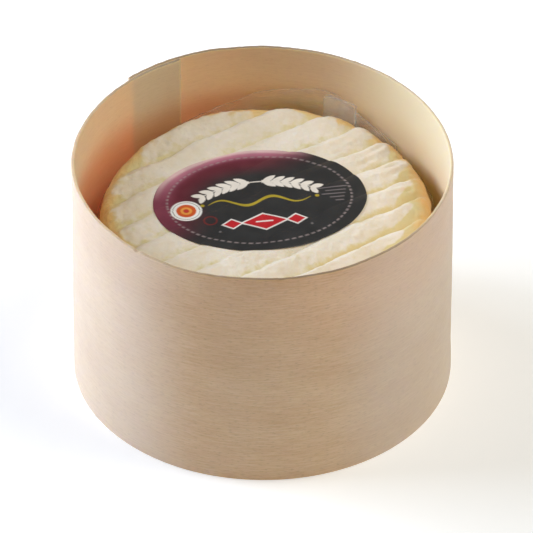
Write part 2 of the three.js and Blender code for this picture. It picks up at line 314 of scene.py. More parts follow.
def rim_height(angle, turned):
    """Height of the band's upper edge: the box's height less a shallow dip at the front left, a fine
    unevenness from the knife, one small nick, and a little more off the inner end."""
    facing = (angle + math.pi) % FULL_TURN - math.pi
    dip_angle, dip_width, dip_depth = -122 * DEGREE, 24 * DEGREE, 0.75
    nick_angle, nick_width, nick_depth = -131.1 * DEGREE, 0.9 * DEGREE, 0.55
    dip = dip_depth * np.exp(-(((facing - dip_angle) / dip_width) ** 2))
    nick = nick_depth * np.exp(-(((facing - nick_angle) / nick_width) ** 4))
    arc = turned * BOX_RADIUS
    fine = 0.1 * ripple(arc, 0.0, 0.0, 14.0, 11) + 0.05 * ripple(arc, 0.0, 0.0, 3.0, 12)
    return BOX_HEIGHT - RIM_INSET - dip - nick + fine


def wall_tints(turned, z, top, inner_face):
    """How much each tint colours the band, 0 to 1: painted light inside as a paler tint, half of it all over and
    more at the right and behind the film, painted shade inside as a deep orange below a wavy line, most at the
    left, a painted grey sheen outside at both sides, and the darker sawn edge along the rim, partly its own
    colour and partly painted shade, most at the front and back, and across the inner end."""
    facing = INNER_END_ANGLE + turned
    # Painted shade: a deep orange on the inner face below a wavy line near the cheese, strongest on the inner
    # left wall.
    shade_height, shade_wave, shade_fade = 73, 2.0, 16
    shade_line = shade_height + shade_wave * ripple(turned * BOX_RADIUS, 0.0, 0.0, 40.0, 23)
    orange_shade = (0.1 + 0.55 * side_share(facing, 178, -0.2, 0.7)) * ease((shade_line - z) / shade_fade)

    # Painted light: a paler tint over the whole inner face, stronger on the inner right wall and on the wall
    # behind the film.
    round_to = (facing + math.pi) % FULL_TURN - math.pi
    film_angle = np.where(round_to > FILM_END_ANGLE + FULL_TURN, round_to - FULL_TURN, round_to)
    behind_film = ease((film_top(film_angle) - 1.5 - z) / 3) * side_share(facing, 75, 0.5, 0.8)
    fair = 0.5 + 0.5 * np.maximum(side_share(facing, 10, 0.45, 0.9), 0.9 * behind_film)

    # Painted sheen: a pale grey on the outer faces at both sides, where they turn edge-on to the view.
    side_sheen = 0.42 * ease((np.abs(np.cos(facing)) - 0.3) / 0.4)
    # The sawn edge along the rim is darker, partly its own colour and partly painted shade, most at the front and
    # back; the inner end's face is darkened too.
    front_and_back = np.sin(facing - 12 * DEGREE) ** 2
    cut = 0.88 * front_and_back * ease((z - top + 0.5 * RIM_ROUNDING) / (0.3 * RIM_ROUNDING))
    tints = {
        "damp": np.where(inner_face, orange_shade, 0.0),
        "fair": np.where(inner_face, fair, 0.0),
        "dusty": np.where(inner_face, 0.0, side_sheen),
        "cut": np.where(turned < 0.004, 0.5, cut),
    }
    return {key: np.broadcast_to(amount, z.shape).ravel() for key, amount in tints.items()}


def box_wall():
    """The band is a thin upright section carried along its spiral path. Rows are places along the path, and
    columns go round the section: up the outer face, over the rounded rim, down the inner face and under."""
    path_steps, face_steps, round_steps = 900, 26, 4
    turned = np.linspace(0, FULL_TURN + LAP_ANGLE, path_steps)
    angle = INNER_END_ANGLE + turned
    half = VENEER_SHOWN / 2

    share = np.linspace(0, 1, face_steps)
    corner = np.linspace(0, math.pi / 2, round_steps + 2)[1:-1]
    bulge = RIM_ROUNDING * (1 - np.sin(corner))
    drop = RIM_ROUNDING * (1 - np.cos(corner))
    # Offset across the veneer, share of the height, and distance from that share's end
    across = np.concatenate([np.full(face_steps, half), half - drop, -half + drop[::-1]])
    across = np.concatenate([across, np.full(face_steps, -half), -half + drop, half - drop[::-1]])
    up = np.concatenate([share, np.ones(2 * round_steps), share[::-1], np.zeros(2 * round_steps)])
    face_end = RIM_ROUNDING * (1 - 2 * share)
    inset = np.concatenate([face_end, -bulge, -bulge[::-1], face_end[::-1], bulge, bulge[::-1]])

    top = rim_height(angle, turned)[:, None]
    z = np.clip(top * up + inset, 0.0, None)
    arc = (turned * BOX_RADIUS)[:, None]
    warp = 0.1 * ripple(arc, z, 0.0, 45.0, 21) + 0.03 * ripple(arc, z, 0.0, 9.0, 22)
    warp = np.clip(warp, -0.15, 0.15) - BAND_INSET
    above_foot = ease(z / 12)
    lap_fade = 0.2
    inner_lap = 1 - ease((turned - LAP_ANGLE) / lap_fade)
    outer_lap = ease((turned - FULL_TURN + lap_fade) / lap_fade)
    free = (1 - np.maximum(inner_lap, outer_lap))[:, None]
    radius = band_radius(turned)[:, None] + across + warp * above_foot * free
    points = np.stack([radius * np.cos(angle)[:, None], radius * np.sin(angle)[:, None], z], -1)

    columns = points.shape[1]
    uv = np.stack(np.broadcast_arrays(turned[:, None] / turned[-1], z / BOX_HEIGHT), -1)
    quads = grid_quads(path_steps, columns)[:, ::-1]
    start_cap = np.arange(columns)[None, :]
    end_cap = (np.arange(columns)[::-1] + (path_steps - 1) * columns)[None, :]
    length = (FULL_TURN + LAP_ANGLE) * BOX_RADIUS
    wood = peeled_poplar(
        "poplar_veneer_peeled",
        (length, BOX_HEIGHT, 1.0),
        "#e4c8a6",
        "#d0ab82",
        "ShaderNodeUVMap",
    )
    piece = make_piece(
        "veneer_ring",
        points.reshape(-1, 3),
        [quads, start_cap, end_cap],
        wood,
        uv=uv.reshape(-1, 2),
        amounts=wall_tints(turned[:, None], z, top, (across < 0)[None, :]),
    )
    dress(piece, "box_wall")


def box_base():
    """A turned disc: a profile of radius and height, up round the edge from the middle of the underside to the
    middle of the upper face, carried round the axis."""
    spokes, edge_radius = 240, 0.35
    radius = BOX_RADIUS - 1.5 * VENEER - CLEARANCE
    turn = np.linspace(-math.pi / 2, 0, 5)
    flat = np.linspace(0, 1, 9)[1:]
    edge_r = radius - edge_radius * (1 - np.cos(turn))
    edge_z = edge_radius * (1 + np.sin(turn))
    r = np.concatenate([flat[:-1] * edge_r[0], edge_r, edge_r[::-1], flat[:-1][::-1] * edge_r[0]])
    z = np.concatenate([np.zeros(7), edge_z, BASE_THICKNESS - edge_z[::-1], np.full(7, BASE_THICKNESS)])
    angle = np.linspace(0, FULL_TURN, spokes, endpoint=False)
    rings = np.stack([r[:, None] * np.cos(angle), r[:, None] * np.sin(angle), z[:, None] + 0 * angle], -1)
    points = np.concatenate([rings.reshape(-1, 3), [[0, 0, 0], [0, 0, BASE_THICKNESS]]])
    count = len(points)
    first = np.arange(spokes)
    last = first + (len(r) - 1) * spokes
    faces = [grid_quads(len(r), spokes), fan(count - 2, first[::-1]), fan(count - 1, last)]
    wood = peeled_poplar(
        "poplar_veneer_sliced",
        (1 / MM, 1 / MM, 1 / MM),
        "#e6ccaa",
        "#d3af84",
        "ShaderNodeTexCoord",
    )
    # The base takes a little of the painted orange shade all over.
    piece = make_piece("veneer_base", points, faces, wood, amounts={"damp": np.full(count, 0.12)})
    dress(piece, "box_base")


# Cheese


def label_place(x, y):
    """A place in the label's own directions, along and across, in mm."""
    dx, dy = x - LABEL_CENTRE_X, y - LABEL_CENTRE_Y
    along = dx * math.cos(LABEL_TURN) + dy * math.sin(LABEL_TURN)
    across = dy * math.cos(LABEL_TURN) - dx * math.sin(LABEL_TURN)
    return along, across


def label_share(along, across):
    """Share of the way out from the label's middle to its oval edge."""
    return np.hypot(along / LABEL_HALF_LENGTH, across / LABEL_HALF_WIDTH)


def ridge_share(x, y):
    """0 in a crease and 1 on a crest. Square to the creases, crease n lies at
    FIRST_CREASE - FIRST_SPACING n + SPACING_LOSS n n, here turned round to count the creases behind a place.
    Past crease n the ridge rises steeply at first and then falls slowly. It is the mean of a rounded form,
    |sin(pi t^skew)|^roundness, and a pointed one, the lesser of t / crest and (1 - t) / (1 - crest)."""
    across = y * math.cos(CREASE_ANGLE) - x * math.sin(CREASE_ANGLE)
    across = across + 0.6 * ripple(x, y, 0.0, 34.0, 31) + 0.28 * ripple(x, y, 0.0, 9.0, 32)
    inside = np.maximum(FIRST_SPACING**2 - 4 * SPACING_LOSS * (FIRST_CREASE - across), 0)
    count = (FIRST_SPACING - np.sqrt(inside)) / (2 * SPACING_LOSS)
    past = count - np.floor(count)
    rounded = np.abs(np.sin(math.pi * past**RIDGE_SKEW)) ** RIDGE_ROUNDNESS
    pointed = np.minimum(past / CREST_PLACE, (1 - past) / (1 - CREST_PLACE))
    return (rounded + pointed) / 2


def crease_depth(x, y):
    """Depth of the top below its crests, in mm: shallow under the label, deepest at the right and the back
    edge, and about half of that at the left front."""
    outwards = ease((label_share(*label_place(x, y)) - 0.8) / 0.7)
    shallow = SHALLOW_SIDE_LOSS * ease(np.cos(np.arctan2(y, x) - SHALLOW_SIDE_ANGLE))
    depth = MIDDLE_RIDGE_DEPTH + (EDGE_RIDGE_DEPTH - MIDDLE_RIDGE_DEPTH) * outwards
    varied = 1 + 0.16 * ripple(x, y, 0.0, 21.0, 33)
    return depth * varied * (1 - shallow) * (1 - ridge_share(x, y))


def side_wrinkles(x, y):
    """Small folds along the creases, in mm: ones 3.4 mm apart near the right edge, broken up by a ripple, and
    drawn out crumbs 2.6 mm wide all over."""
    across = y * math.cos(CREASE_ANGLE) - x * math.sin(CREASE_ANGLE)
    along = y * math.sin(CREASE_ANGLE) + x * math.cos(CREASE_ANGLE)
    near_right = ease((along - 32) / 14) * ease((across + 34) / 14) * ease((20 - across) / 14)
    broken = ease(0.5 + 0.9 * ripple(x, y, 0.0, 9.0, 41))
    folds = near_right * broken * np.cos(FULL_TURN * across / 3.4 + 1.3 * ripple(x, y, 0.0, 14.0, 42))
    crumbs = ripple(along * 0.4, across, 0.0, 2.6, 43)
    return 0.26 * folds + 0.1 * crumbs * (1 + near_right)


def cheese_outline(angle):
    """Radius of the cheese seen from above: round, with a slight oval and a slight three sided swell."""
    return (
        CHEESE_RADIUS
        + 0.65 * np.cos(2 * (angle - 60 * DEGREE))
        + 0.4 * np.cos(3 * (angle + 25 * DEGREE))
    )


def cheese_profile():
    """Rows of the cheese from the middle of its top to the middle of its underside. Scale shrinks the whole
    outline, out is the distance past the shoulder's start, up the height, and tilt the lean of the surface."""
    quarter = math.pi / 2
    under_label = np.linspace(0, 0.42, 9)[1:]
    open_top = np.linspace(0.42, 1, 84)[1:]
    scale = np.concatenate([under_label, open_top])
    flat = np.zeros(len(scale))
    tilt = np.linspace(0, quarter, 26)[1:]
    side = np.linspace(0, 1, 12)[1:]
    foot = np.linspace(quarter, 0, 6)[1:]
    base = np.linspace(1, 0, 6)[1:-1]
    out = np.concatenate(
        [
            flat,
            SHOULDER_WIDTH * np.sin(tilt),
            SHOULDER_WIDTH + BELLY * np.sin(math.pi * side),
            SHOULDER_WIDTH - FOOT_ROUNDING * (1 - np.sin(foot)),
            np.full(len(base), SHOULDER_WIDTH - FOOT_ROUNDING),
        ]
    )
    side_top, side_foot = CHEESE_TOP - SHOULDER_DROP, CHEESE_UNDERSIDE + FOOT_ROUNDING
    up = np.concatenate(
        [
            flat + CHEESE_TOP,
            CHEESE_TOP - SHOULDER_DROP * (1 - np.cos(tilt)),
            side_top + (side_foot - side_top) * side,
            CHEESE_UNDERSIDE + FOOT_ROUNDING * (1 - np.cos(foot)),
            np.full(len(base), CHEESE_UNDERSIDE),
        ]
    )
    ones = np.ones(len(tilt) + len(side) + len(foot))
    lean = np.concatenate([flat, tilt, np.full(len(side) + len(foot) + len(base), quarter)])
    return np.concatenate([scale, ones, base]), out, up, lean


def bloomy_rind():
    """Soft ripened cheese with a white mould bloom. The bloom is a matt velvet, thick on the crests and worn
    thin in the creases, and it stops short of the edge, where the bare rind is straw to ochre, slightly moist
    and lets some light in."""
    material, tree = new_material("mould_bloom_over_ripe_rind")
    place = add(tree, "ShaderNodeTexCoord")
    fine_size, speck_size, cloud_size = 0.9, 2.6, 11.0
    noises = [
        add(
            tree,
            "ShaderNodeTexNoise",
            {"Vector": (place, "Object"), "Scale": 1 / (size * MM), "Detail": 5.0, "Roughness": 0.62},
        )
        for size in (fine_size, speck_size, cloud_size)
    ]
    fine, speck, cloud = noises
    bloom = add(tree, "ShaderNodeAttribute", attribute_name="bloom")
    ripe = add(tree, "ShaderNodeAttribute", attribute_name="ripe")
    ragged = add(
        tree,
        "ShaderNodeMapRange",
        {"Value": (speck, "Fac"), "From Min": 0.3, "From Max": 0.7, "To Min": -0.28, "To Max": 0.28},
    )
    covered = add(tree, "ShaderNodeMath", {0: (bloom, "Fac"), 1: (ragged, "Result")}, operation="ADD")
    cover = add(
        tree,
        "ShaderNodeMapRange",
        {"Value": (covered, "Value"), "From Min": 0.15, "From Max": 0.85},
        interpolation_type="SMOOTHSTEP",
    )
    rind = add(
        tree,
        "ShaderNodeMix",
        {0: (ripe, "Fac"), 6: linear("#decf9a"), 7: linear("#efc680")},
        data_type="RGBA",
    )
    cloudy = add(
        tree,
        "ShaderNodeMapRange",
        {"Value": (cloud, "Fac"), "From Min": 0.35, "From Max": 0.65},
    )
    white = add(
        tree,
        "ShaderNodeMix",
        {0: (cloudy, "Result"), 6: linear("#f0e6d7"), 7: linear("#e6d9c2")},
        data_type="RGBA",
    )
    skin = add(tree, "ShaderNodeMix", {0: (cover, "Result"), 6: (rind, 2), 7: (white, 2)}, data_type="RGBA")
    height = add(tree, "ShaderNodeMath", {0: (fine, "Fac"), 1: (speck, "Fac")}, operation="ADD")
    relief = add(
        tree,
        "ShaderNodeBump",
        {"Height": (height, "Value"), "Strength": 0.9, "Distance": 0.26 * MM},
    )
    shine = add(
        tree,
        "ShaderNodeMapRange",
        {"Value": (cover, "Result"), "To Min": 0.42, "To Max": 0.8},
    )
    shader = add(
        tree,
        "ShaderNodeBsdfPrincipled",
        {
            "Base Color": (skin, 2),
            "Roughness": (shine, "Result"),
            "Normal": (relief, "Normal"),
            "IOR": 1.42,
            "Subsurface Weight": 0.35,
            "Subsurface Radius": (1.0, 0.7, 0.38),
            "Subsurface Scale": 1.5 * MM,
            "Sheen Weight": 0.12,
            "Sheen Roughness": 0.5,
        },
    )
    add(tree, "ShaderNodeOutputMaterial", {"Surface": (shader, "BSDF")})
    return material


def rind_amounts(x, y, z, angle):
    """How thick the bloom lies and how ripe the rind below it is, 0 to 1. The bloom ends at a ragged edge,
    further in at the right front and further out on the crests, thins in the creases and in patches, and
    comes back in spots low on the side. The rind ripens outwards, and in the creases at the right front."""
    rise = ridge_share(x, y)
    from_centre = np.hypot(x - CHEESE_CENTRE_X, y - CHEESE_CENTRE_Y)
    left = side_share(angle, 190, -0.1, 0.9)
    back = side_share(angle, 72, 0.3, 0.9)
    right_front = side_share(angle, -24, 0.55, 0.95)
    ragged = 0.8 * ripple(x, y, z, 9.0, 61) + 0.55 * ripple(x, y, z, 3.6, 64)
    bloom_edge = 47.8 - 0.6 * left + 1.8 * back - 7.6 * right_front + 1.3 * ragged
    bloom_edge = bloom_edge + (3.4 + 3.6 * right_front) * rise
    in_crease = ease((0.62 - rise) / 0.55) * ease((from_centre - 18) / 20)
    patches = ease(0.25 + 0.55 * ripple(x, y, z, 15.0, 65))
    low = ease((CHEESE_TOP - 7 - z) / 5)
    spots = ease(0.25 + 0.6 * ripple(x, y, z, 8.0, 62))
    bloom = ease((bloom_edge - from_centre) / 3.2 + 0.5)
    bloom = bloom * (1 - (0.5 + 0.35 * right_front) * in_crease) * (1 - 0.25 * patches)
    bloom = np.maximum(bloom * (1 - low), low * spots)
    ripe = ease((from_centre - 46.5) / 8 + 0.12 * ripple(x, y, z, 6.0, 63)) * (1 - 0.15 * left)
    ripe = np.maximum(ripe, 0.3 * in_crease * right_front)
    return bloom, ripe


def cheese():
    """The cheese's profile carried round its axis, pushed in along its own lean by the depth of the creases
    and the wrinkles, which fade out down the shoulder."""
    spokes = 700
    scale, out, up, lean = (column[:, None] for column in cheese_profile())
    angle = np.linspace(0, FULL_TURN, spokes, endpoint=False)[None, :]
    radius = scale * (cheese_outline(angle) - SHOULDER_WIDTH + out)
    x = CHEESE_CENTRE_X + radius * np.cos(angle)
    y = CHEESE_CENTRE_Y + radius * np.sin(angle)
    z = up + 0 * angle
    depth = crease_depth(x, y)
    hold = np.clip(1 - lean / CREASE_END_TILT, 0, 1)
    on_top = (up > CHEESE_TOP - SHOULDER_DROP - 0.01) * 1.0
    uneven = 0.14 * ripple(x, y, z, 12.0, 51) + 0.08 * ripple(x, y, z, 4.0, 52) + 0.065 * ripple(x, y, z, 1.8, 53)
    uneven = np.clip(uneven, -0.3, 0.3)
    clear_of_label = ease((label_share(*label_place(x, y)) - 1.01) * 9)
    # The wrinkles start a little way in, so that none stands out of the solid
    wrinkles = (side_wrinkles(x, y) + 0.3) * clear_of_label
    inwards = (depth + wrinkles) * hold + uneven * on_top * clear_of_label
    on_side = ease((CHEESE_TOP - 4 - z) / 6) * ease((z - CHEESE_UNDERSIDE) / 4)
    inwards = inwards + np.maximum(0.25 * ripple(x, y, z, 9.0, 54) * on_side, -0.1)
    x = x - inwards * np.sin(lean) * np.cos(angle)
    y = y - inwards * np.sin(lean) * np.sin(angle)
    z = z - inwards * np.cos(lean)

    bloom, ripe = rind_amounts(x, y, z, angle)
    count = x.size
    points = np.stack([x, y, z], -1).reshape(-1, 3)
    middle = [CHEESE_CENTRE_X, CHEESE_CENTRE_Y]
    middle_depth = float(crease_depth(*np.array(middle)))
    poles = [[*middle, CHEESE_TOP - middle_depth], [*middle, CHEESE_UNDERSIDE]]
    points = np.concatenate([points, poles])
    first = np.arange(spokes)
    last = first + count - spokes
    faces = [grid_quads(len(scale), spokes)[:, ::-1], fan(count, first), fan(count + 1, last[::-1])]
    amounts = {
        "bloom": np.append(bloom.ravel(), [1.0, 0.4]),
        "ripe": np.append(ripe.ravel(), [0.0, 0.5]),
    }
    dress(make_piece("ripened_cheese", points, faces, bloomy_rind(), amounts=amounts), "cheese")


# Label


def blend(under, over, amount):
    """Ink over ink: under (1 - amount) + over amount."""
    return under * (1 - amount[:, None]) + np.array(over)[None, :3] * amount[:, None]


def inked(distance, soft=0.22):
    """How much ink a shape lays down: 1 inside its edge and 0 outside, softened over a fifth of a mm."""
    return np.clip(0.5 - distance / soft, 0, 1)


def leaf_distance(a, b, at, turn, length, width):
    """Distance outside a pointed leaf, as the greater of the distances to the two arcs that bound it."""
    along = (a - at[0]) * math.cos(turn) + (b - at[1]) * math.sin(turn)
    across = (b - at[1]) * math.cos(turn) - (a - at[0]) * math.sin(turn)
    arc = (length**2 + width**2) / (4 * width)
    return np.hypot(along, np.abs(across) + arc - width / 2) - arc


def bar_distance(a, b, start, end, half_width):
    """Distance outside a round-ended bar from start to end."""
    run = np.array(end) - np.array(start)
    along = np.clip(((a - start[0]) * run[0] + (b - start[1]) * run[1]) / (run @ run), 0, 1)
    return np.hypot(a - start[0] - along * run[0], b - start[1] - along * run[1]) - half_width


def printed_blush(a, b):
    """Wine red inside the upper left edge, which turns pink and then pale towards the edge at the top."""
    share = label_share(a, b)
    facing = np.arctan2(b / LABEL_HALF_WIDTH, a / LABEL_HALF_LENGTH)
    away = np.abs((facing - 138 * DEGREE + math.pi) % FULL_TURN - math.pi)
    window = ease((92 * DEGREE - away) / (50 * DEGREE))
    yield "#6c2c38", 0.95 * window * ease((share - 0.46) / 0.34)
    yield "#823f50", window * ease((share - 0.76) / 0.14)
    window = ease((62 * DEGREE - np.abs(facing - 112 * DEGREE)) / (36 * DEGREE))
    yield "#b87487", window * ease((share - 0.81) / 0.12)
    yield "#e4c2c0", 0.95 * window * ease((share - 0.92) / 0.06)


def printed_border(a, b):
    """Short dashes along an oval inside the edge."""
    oval_share, spacing, half_length, half_width = 0.865, 2.1, 0.62, 0.3
    facing = np.arctan2(b / LABEL_HALF_WIDTH, a / LABEL_HALF_LENGTH)
    from_oval = np.abs(label_share(a, b) - oval_share) * LABEL_HALF_WIDTH
    run = facing * (LABEL_HALF_LENGTH + LABEL_HALF_WIDTH) / 2 * oval_share
    from_dash = np.abs((run / spacing) % 1 - 0.5) * spacing
    yield "#a99a98", 0.6 * inked(np.maximum(from_oval - half_width, from_dash - half_length))


def printed_sprigs(a, b):
    """Two sprigs on one bowed stem, whose pairs of leaves grow smaller outwards."""
    ivory = "#ede4d8"
    stem_top, stem_bow, stem_reach, stem_half_width = 9.6, 0.016, 19, 0.22
    pairs, first_pair, pair_spacing = 6, 2.9, 3.0
    leaf_length, leaf_loss, leaf_width, leaf_lean, leaf_start = 6.0, 0.3, 2.1, 38 * DEGREE, 1.9
    for side in (-1, 1):
        for i in range(pairs):
            at_a = side * (first_pair + pair_spacing * i)
            at_b = stem_top - stem_bow * at_a**2
            for fold in (-1, 1):
                turn = math.atan2(-2 * stem_bow * at_a * side, side) + side * fold * leaf_lean
                at = (at_a + math.cos(turn) * leaf_start, at_b + math.sin(turn) * leaf_start)
                yield ivory, inked(leaf_distance(a, b, at, turn, leaf_length - leaf_loss * i, leaf_width))
    from_stem = np.abs(b - stem_top + stem_bow * a**2) - stem_half_width
    yield ivory, inked(np.maximum(from_stem, np.abs(a) - stem_reach))


def printed_wave(a, b):
    """One gilt wave, thick in the middle and thin at the ends, with a dot past each end."""
    gilt = "#b29c34"
    reach, height, middle_b, dot_a, dot_radius = 17, 1.9, -0.6, 19, 0.7
    half_width = 0.55 * np.clip(1 - (a / reach) ** 2, 0, 1) + 0.12
    from_wave = np.abs(b - middle_b - height * np.sin(a / reach * FULL_TURN)) - half_width
    yield gilt, inked(np.maximum(from_wave * 0.8, np.abs(a) - reach))
    for side in (-1, 1):
        yield gilt, inked(np.hypot(a - side * dot_a, b - middle_b) - dot_radius)


def printed_lozenges(a, b):
    """A large red lozenge between two small ones, each with a white edge, and a bar on the large one."""
    red, white = "#c22a30", "#efe9e2"
    middle_b, edge_width = -11.6, 0.55
    for at_a, half_length, half_height in ((0.0, 7.2, 4.0), (-10.6, 2.9, 2.2), (10.6, 2.9, 2.2)):
        past_edge = np.abs(a - at_a) / half_length + np.abs(b - middle_b) / half_height - 1
        outside = past_edge * half_height * 0.85
        yield white, inked(outside - edge_width)
        yield red, inked(outside)
    yield white, inked(bar_distance(a, b, (-2.6, middle_b), (2.6, middle_b), 0.32))


def printed_seal(a, b):
    """A round seal of plain rings at the left, and a thin ring beside it."""
    from_seal = np.hypot(a + 24.6, b + 2.6)
    rings = ((5.2, "#efece6"), (4.55, "#8d8a86"), (4.3, "#efece6"))
    rings += ((3.3, "#d05c2c"), (1.9, "#e9a04a"), (1.0, "#c23c34"))
    for radius, ink in rings:
        yield ink, inked(from_seal - radius)
    yield "#7d2f2b", inked(np.abs(np.hypot(a + 17.5, b + 8.8) - 2.1) - 0.22)


def printed_bars(a, b):
    """A block of short bars at the right, and a few dots near the lower edge."""
    block_right, block_top, bar_spacing, bar_half_width = 29.3, 3.2, 1.75, 0.2
    for i, length in enumerate((9.5, 7.0, 8.5, 6.0, 4.5)):
        at_b = block_top - bar_spacing * i
        start, end = (block_right - length, at_b), (block_right - 0.5 * i, at_b)
        yield "#9a8f8f", 0.7 * inked(bar_distance(a, b, start, end, bar_half_width))
    middle_reach, dot_radius = 13, 0.45
    for i in range(9):
        angle = (-128 + 9.5 * i) * DEGREE
        at_a, at_b = LABEL_HALF_LENGTH * 0.7 * math.cos(angle), LABEL_HALF_WIDTH * 0.72 * math.sin(angle)
        if abs(at_a) > middle_reach:
            yield "#8f8a88", 0.6 * inked(np.hypot(a - at_a, b - at_b) - dot_radius)


def label_print(a, b):
    """The label's printed colours at places along (a) and across (b) it, in mm: inks laid one after another
    on a charcoal field, each given with how much of it lies at every place."""
    charcoal = "#343434"
    colour = np.tile(np.array(linear(charcoal))[:3], (len(a), 1))
    designs = (printed_blush, printed_border, printed_sprigs, printed_wave)
    designs += (printed_lozenges, printed_seal, printed_bars)
    for design in designs:
        for ink, amount in design(a, b):
            colour = blend(colour, linear(ink), amount)
    return colour


def coated_paper():
    """Coated label paper, offset printed and varnished. It has an even satin shine, a very fine tooth that
    only shows as a soft mottle, and a white cut edge."""
    material, tree = new_material("coated_paper_offset_printed")
    place = add(tree, "ShaderNodeTexCoord")
    tooth_size, mottle_size = 0.5, 6.0
    tooth = add(
        tree,
        "ShaderNodeTexNoise",
        {"Vector": (place, "Object"), "Scale": 1 / (tooth_size * MM), "Detail": 2.0},
    )
    mottle = add(
        tree,
        "ShaderNodeTexNoise",
        {"Vector": (place, "Object"), "Scale": 1 / (mottle_size * MM), "Detail": 2.0},
    )
    ink = add(tree, "ShaderNodeAttribute", attribute_name="print")
    lightness = add(
        tree,
        "ShaderNodeMapRange",
        {"Value": (mottle, "Fac"), "From Min": 0.3, "From Max": 0.7, "To Min": 0.92, "To Max": 1.08},
    )
    shaded = add(tree, "ShaderNodeHueSaturation", {"Color": (ink, "Color"), "Value": (lightness, "Result")})
    relief = add(
        tree,
        "ShaderNodeBump",
        {"Height": (tooth, "Fac"), "Strength": 0.12, "Distance": 0.03 * MM},
    )
    shine = add(
        tree,
        "ShaderNodeMapRange",
        {"Value": (mottle, "Fac"), "From Min": 0.3, "From Max": 0.7, "To Min": 0.34, "To Max": 0.44},
    )
    shader = add(
        tree,
        "ShaderNodeBsdfPrincipled",
        {
            "Base Color": (shaded, "Color"),
            "Roughness": (shine, "Result"),
            "Normal": (relief, "Normal"),
            "IOR": 1.48,
        },
    )
    add(tree, "ShaderNodeOutputMaterial", {"Surface": (shader, "BSDF")})
    return material


def label():
    """An oval sheet over the crests. Rings of points go out over its underside and back over its face: a ring
    is the label's outline times a share, and its height is the crests' less a part of the crease depth, more
    of it near the edge."""
    spokes, rings, under_rings = 560, 104, 60
    angle = np.linspace(0, FULL_TURN, spokes, endpoint=False)[None, :]
    flat_spot = 0.008 * np.exp(-(((angle - 205 * DEGREE) / 0.35) ** 2))
    outline = 1 + 0.006 * np.cos(5 * angle + 0.7) - flat_spot
    under = np.linspace(0, 1, under_rings)[1:, None]
    face = np.linspace(1, 0, rings)[:-1, None]
    cut_edge = [[1.002]]
    share = np.concatenate([under, cut_edge, face])
    is_face = np.concatenate([np.zeros(len(under)), [0.5], np.ones(len(face))])[:, None]
    a = LABEL_HALF_LENGTH * share * outline * np.cos(angle)
    b = LABEL_HALF_WIDTH * share * outline * np.sin(angle)
    x = LABEL_CENTRE_X + a * math.cos(LABEL_TURN) - b * math.sin(LABEL_TURN)
    y = LABEL_CENTRE_Y + a * math.sin(LABEL_TURN) + b * math.cos(LABEL_TURN)
    sag_share = LABEL_SAG_SHARE + (LABEL_EDGE_SAG_SHARE - LABEL_SAG_SHARE) * ease((share - 0.75) / 0.25)
    z = CHEESE_TOP + LABEL_LIFT - sag_share * crease_depth(x, y) + LABEL_THICKNESS * is_face
    z = z + 0.04 * ripple(x, y, 0.0, 16.0, 71)
    count = x.size
    points = np.stack([x, y, z], -1).reshape(-1, 3)
    middle = [LABEL_CENTRE_X, LABEL_CENTRE_Y]
    middle_z = CHEESE_TOP + LABEL_LIFT - LABEL_SAG_SHARE * float(crease_depth(*np.array(middle)))
    points = np.concatenate([points, [[*middle, middle_z], [*middle, middle_z + LABEL_THICKNESS]]])
    face_colour = label_print(np.append(a.ravel(), [0, 0]), np.append(b.ravel(), [0, 0]))
    bare = np.append((is_face + 0 * a).ravel(), [0, 1])[:, None] < 0.4
    face_colour = np.where(bare, np.array(linear("#e9e3da"))[:3], face_colour)
    first = np.arange(spokes)
    last = first + count - spokes
    faces = [grid_quads(len(share), spokes), fan(count, first[::-1]), fan(count + 1, last)]
    piece = make_piece("oval_label", points, faces, coated_paper(), colours={"print": face_colour})
    dress(piece, "label")


# Film


def film_top(angle):
    """Height of the film's upper edge against the angle turned, in degrees: low in the gap at the sides and the
    front, level with the cheese at the back left, and standing up behind it."""
    places = [-319, -303, -293, -286.7, -269, -256, -251, -231, -211, -110, -5, 41.8, 58, 69.7]
    heights = [58.8, 63.7, 69.2, 69.1, 66.8, 62.6, 61.3, 58.0, 57.5, 55.5, 59.0, 57.8, 65.0, 69.2]
    return np.interp(angle / DEGREE, places, heights)


def clear_wrap():
    """Clear food wrap, blown thin and crumpled. The wood behind shows through it, and its crinkles catch the
    light from above as a pale veil, a little denser at the cut edges and the fold. The crinkles are drawn
    coarser than real ones, because those are too fine to show."""
    material, tree = new_material("blown_clear_film")
    place = add(tree, "ShaderNodeTexCoord")
    crease_size = 3.5
    stretch = add(tree, "ShaderNodeMapping", {"Vector": (place, "Object"), "Scale": (0.45, 0.45, 1.0)})
    folds = add(
        tree,
        "ShaderNodeTexNoise",
        {"Vector": (stretch, "Vector"), "Scale": 1 / (crease_size * MM), "Detail": 3.0, "Roughness": 0.55},
    )
    edge = add(tree, "ShaderNodeAttribute", attribute_name="edge")
    veil = add(
        tree,
        "ShaderNodeMapRange",
        {"Value": (folds, "Fac"), "From Min": 0.35, "From Max": 0.7, "To Min": 0.06, "To Max": 0.12},
    )
    opacity = add(tree, "ShaderNodeMath", {0: (veil, "Result"), 1: (edge, "Fac")}, operation="ADD")
    relief = add(
        tree,
        "ShaderNodeBump",
        {"Height": (folds, "Fac"), "Strength": 1.0, "Distance": 4.0 * MM},
    )
    shader = add(
        tree,
        "ShaderNodeBsdfPrincipled",
        {
            "Base Color": linear("#fffaf4"),
            "Roughness": 0.3,
            "IOR": 1.5,
            "Subsurface Weight": 0.4,
            "Subsurface Radius": (1.0, 1.0, 1.0),
            "Subsurface Scale": 0.6 * MM,
            "Alpha": (opacity, "Value"),
            "Normal": (relief, "Normal"),
        },
    )
    add(tree, "ShaderNodeOutputMaterial", {"Surface": (shader, "BSDF")})
    return material


def beside_cheese(angle, gap):
    """Places seen from above at a distance outside the cheese's outline."""
    radius = cheese_outline(angle) + gap
    return np.stack([CHEESE_CENTRE_X + radius * np.cos(angle), CHEESE_CENTRE_Y + radius * np.sin(angle)], -1)


